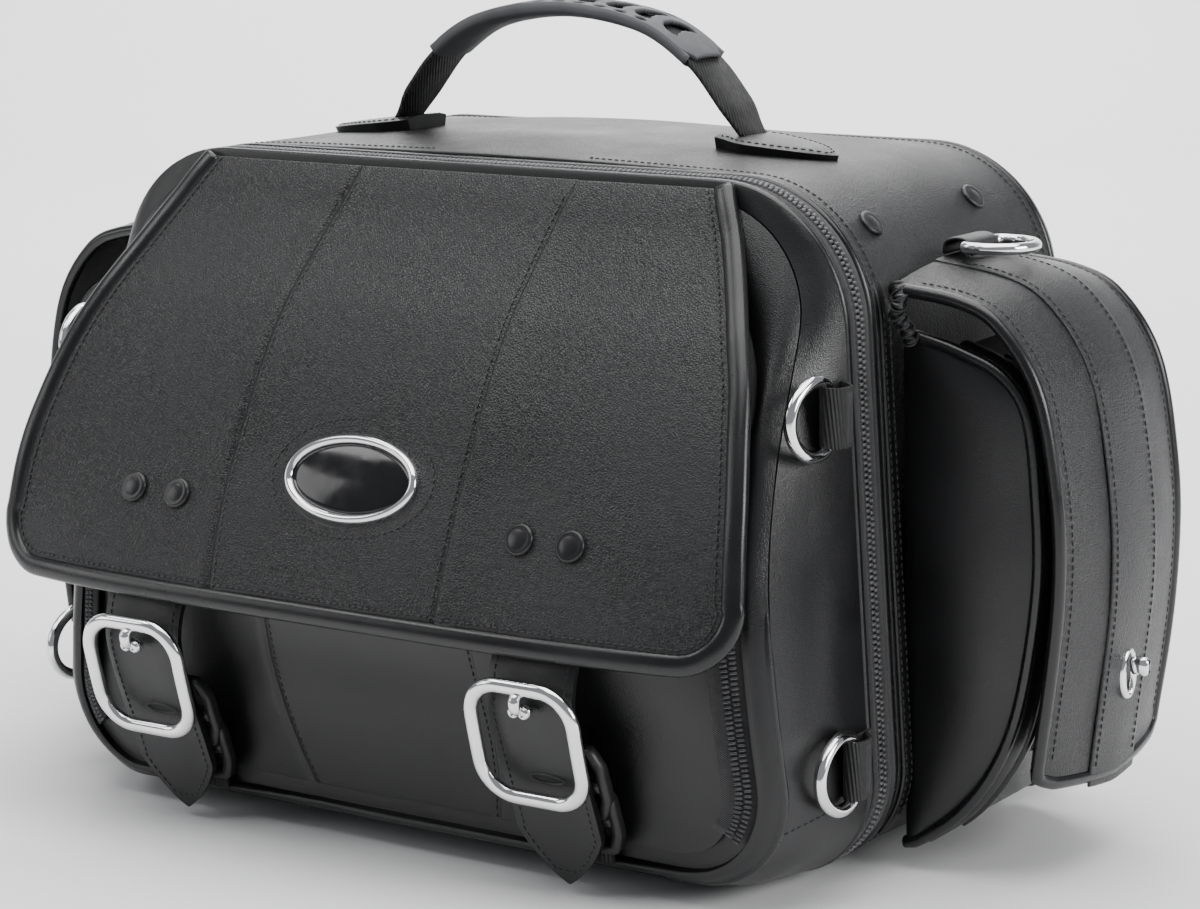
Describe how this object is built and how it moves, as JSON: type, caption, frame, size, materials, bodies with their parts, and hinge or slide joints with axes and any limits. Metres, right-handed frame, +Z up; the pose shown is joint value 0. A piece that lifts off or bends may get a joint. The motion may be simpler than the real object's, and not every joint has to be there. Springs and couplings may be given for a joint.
{
  "type": "motorcycle tail bag",
  "caption": "Black leather motorcycle tail bag: boxy case, wedge-shaped front door with buckled flap, flap-topped side pockets, D-rings and an arched top handle.",
  "frame": {"origin": "on the underside of the base, on the centre plane, 90 mm behind the piping of the front door", "axes": "+X to the bag's right as seen from its front, -Y out of its front, +Z up"},
  "size_m": [0.5804, 0.3163, 0.3605],
  "materials": {
    "grained_leather": "pebbled semi-gloss black",
    "smooth_leather": "smooth semi-gloss black",
    "lining": "woven black",
    "zip_tape": "woven black tape with moulded teeth",
    "webbing": "woven black webbing",
    "grip_rubber": "matt dark grey",
    "black_plastic": "satin black",
    "chrome": "polished",
    "black_metal": "gloss black"
  },
  "bodies": {
    "case": {"side_gusset_right": "smooth_leather", "side_gusset_left": "smooth_leather", "top_panel": "smooth_leather", "base_panel": "grained_leather", "rear_panel": "grained_leather", "case_zip": "zip_tape", "backrest_sleeve": "grained_leather", "handle_patch_right": "grained_leather", "handle_patch_left": "grained_leather", "side_pocket_front_right": "grained_leather", "side_pocket_rear_right": "grained_leather", "side_pocket_wrap_right": "grained_leather", "side_pocket_front_left": "grained_leather", "side_pocket_rear_left": "grained_leather", "side_pocket_wrap_left": "grained_leather"},
    "front_door": {"door_panel": "lining", "door_gusset": "grained_leather", "door_zip": "zip_tape", "door_piping": "smooth_leather", "pocket_gusset": "grained_leather", "pocket_face": "grained_leather", "pocket_piping": "smooth_leather", "ring_loop_upper_left": "webbing", "ring_loop_lower_left": "webbing", "ring_loop_upper_right": "webbing", "ring_loop_lower_right": "webbing", "clip_socket_left": "black_plastic", "clip_socket_right": "black_plastic"},
    "front_flap": {"front_flap": "grained_leather", "badge_bezel": "chrome", "badge_face": "black_plastic", "flap_rivets_left": "black_metal", "flap_rivets_right": "black_metal", "strap_left": "grained_leather", "strap_right": "grained_leather", "buckle_left": "chrome", "buckle_right": "chrome", "clip_plug_left": "black_plastic", "clip_plug_right": "black_plastic"},
    "ring_upper_left": {"ring_upper_left": "chrome"},
    "ring_lower_left": {"ring_lower_left": "chrome"},
    "ring_upper_right": {"ring_upper_right": "chrome"},
    "ring_lower_right": {"ring_lower_right": "chrome"},
    "side_flap_left": {"side_flap_left": "grained_leather", "lock_plate_left": "chrome", "side_ring_loop_left": "webbing"},
    "side_flap_right": {"side_flap_right": "grained_leather", "lock_plate_right": "chrome", "side_ring_loop_right": "webbing"},
    "side_ring_left": {"side_ring_left": "chrome"},
    "side_ring_right": {"side_ring_right": "chrome"},
    "lock_knob_left": {"lock_knob_left": "chrome"},
    "lock_knob_right": {"lock_knob_right": "chrome"},
    "handle": {"handle_strap": "webbing", "handle_grip": "grip_rubber"},
    "main_slider_a": {"main_slider_a": "chrome"},
    "main_slider_b": {"main_slider_b": "chrome"},
    "main_pull_a": {"main_pull_a": "grained_leather"},
    "main_pull_b": {"main_pull_b": "grained_leather"}
  },
  "joints": [
    {"name": "door_hinge", "type": "hinge", "parent": "case", "child": "front_door", "pos_m": [0, -0.09, 0], "axis": [1, 0, 0], "range_deg": [0, 80]},
    {"name": "flap_hinge", "type": "hinge", "parent": "front_door", "child": "front_flap", "pos_m": [0, -0.092, 0.286], "axis": [-1, 0, 0], "range_deg": [0, 100]},
    {"name": "ring_upper_left_hinge", "type": "hinge", "parent": "front_door", "child": "ring_upper_left", "pos_m": [-0.19706, -0.113, 0.202], "axis": [0, 0, -1], "range_deg": [0, 120]},
    {"name": "ring_lower_left_hinge", "type": "hinge", "parent": "front_door", "child": "ring_lower_left", "pos_m": [-0.20946, -0.113, 0.057], "axis": [0, 0, -1], "range_deg": [0, 120]},
    {"name": "side_flap_left_hinge", "type": "hinge", "parent": "case", "child": "side_flap_left", "pos_m": [-0.192, -0.005, 0.256], "axis": [0, 1, 0], "range_deg": [0, 65]},
    {"name": "side_ring_left_hinge", "type": "hinge", "parent": "side_flap_left", "child": "side_ring_left", "pos_m": [-0.208, -0.005, 0.2608], "axis": [0, 1, 0], "range_deg": [0, 45]},
    {"name": "lock_left_turn", "type": "hinge", "parent": "case", "child": "lock_knob_left", "pos_m": [-0.28, -0.005, 0.0876], "axis": [-1, 0, 0], "range_deg": [0, 90]},
    {"name": "ring_upper_right_hinge", "type": "hinge", "parent": "front_door", "child": "ring_upper_right", "pos_m": [0.19706, -0.113, 0.202], "axis": [0, 0, 1], "range_deg": [0, 120]},
    {"name": "ring_lower_right_hinge", "type": "hinge", "parent": "front_door", "child": "ring_lower_right", "pos_m": [0.20946, -0.113, 0.057], "axis": [0, 0, 1], "range_deg": [0, 120]},
    {"name": "side_flap_right_hinge", "type": "hinge", "parent": "case", "child": "side_flap_right", "pos_m": [0.192, -0.005, 0.256], "axis": [0, -1, 0], "range_deg": [0, 65]},
    {"name": "side_ring_right_hinge", "type": "hinge", "parent": "side_flap_right", "child": "side_ring_right", "pos_m": [0.208, -0.005, 0.2608], "axis": [0, -1, 0], "range_deg": [0, 45]},
    {"name": "lock_right_turn", "type": "hinge", "parent": "case", "child": "lock_knob_right", "pos_m": [0.28, -0.005, 0.0876], "axis": [1, 0, 0], "range_deg": [0, 90]},
    {"name": "handle_tilt", "type": "hinge", "parent": "case", "child": "handle", "pos_m": [0, -0.003, 0.317], "axis": [1, 0, 0], "range_deg": [-35, 35], "stiffness_Nm_per_rad": 0.12},
    {"name": "main_slider_a_slide", "type": "slide", "parent": "case", "child": "main_slider_a", "axis": [0.0647, 0, 0.9979], "range_m": [0, 0.1]},
    {"name": "main_slider_b_slide", "type": "slide", "parent": "case", "child": "main_slider_b", "axis": [0.0647, 0, 0.9979], "range_m": [0, 0.012]},
    {"name": "main_pull_a_swing", "type": "hinge", "parent": "main_slider_a", "child": "main_pull_a", "pos_m": [-0.21154, -0.08, 0.09554], "axis": [0, 1, 0], "range_deg": [0, 120]},
    {"name": "main_pull_b_swing", "type": "hinge", "parent": "main_slider_b", "child": "main_pull_b", "pos_m": [-0.2145, -0.08, 0.04054], "axis": [0, 1, 0], "range_deg": [0, 120]}
  ]
}
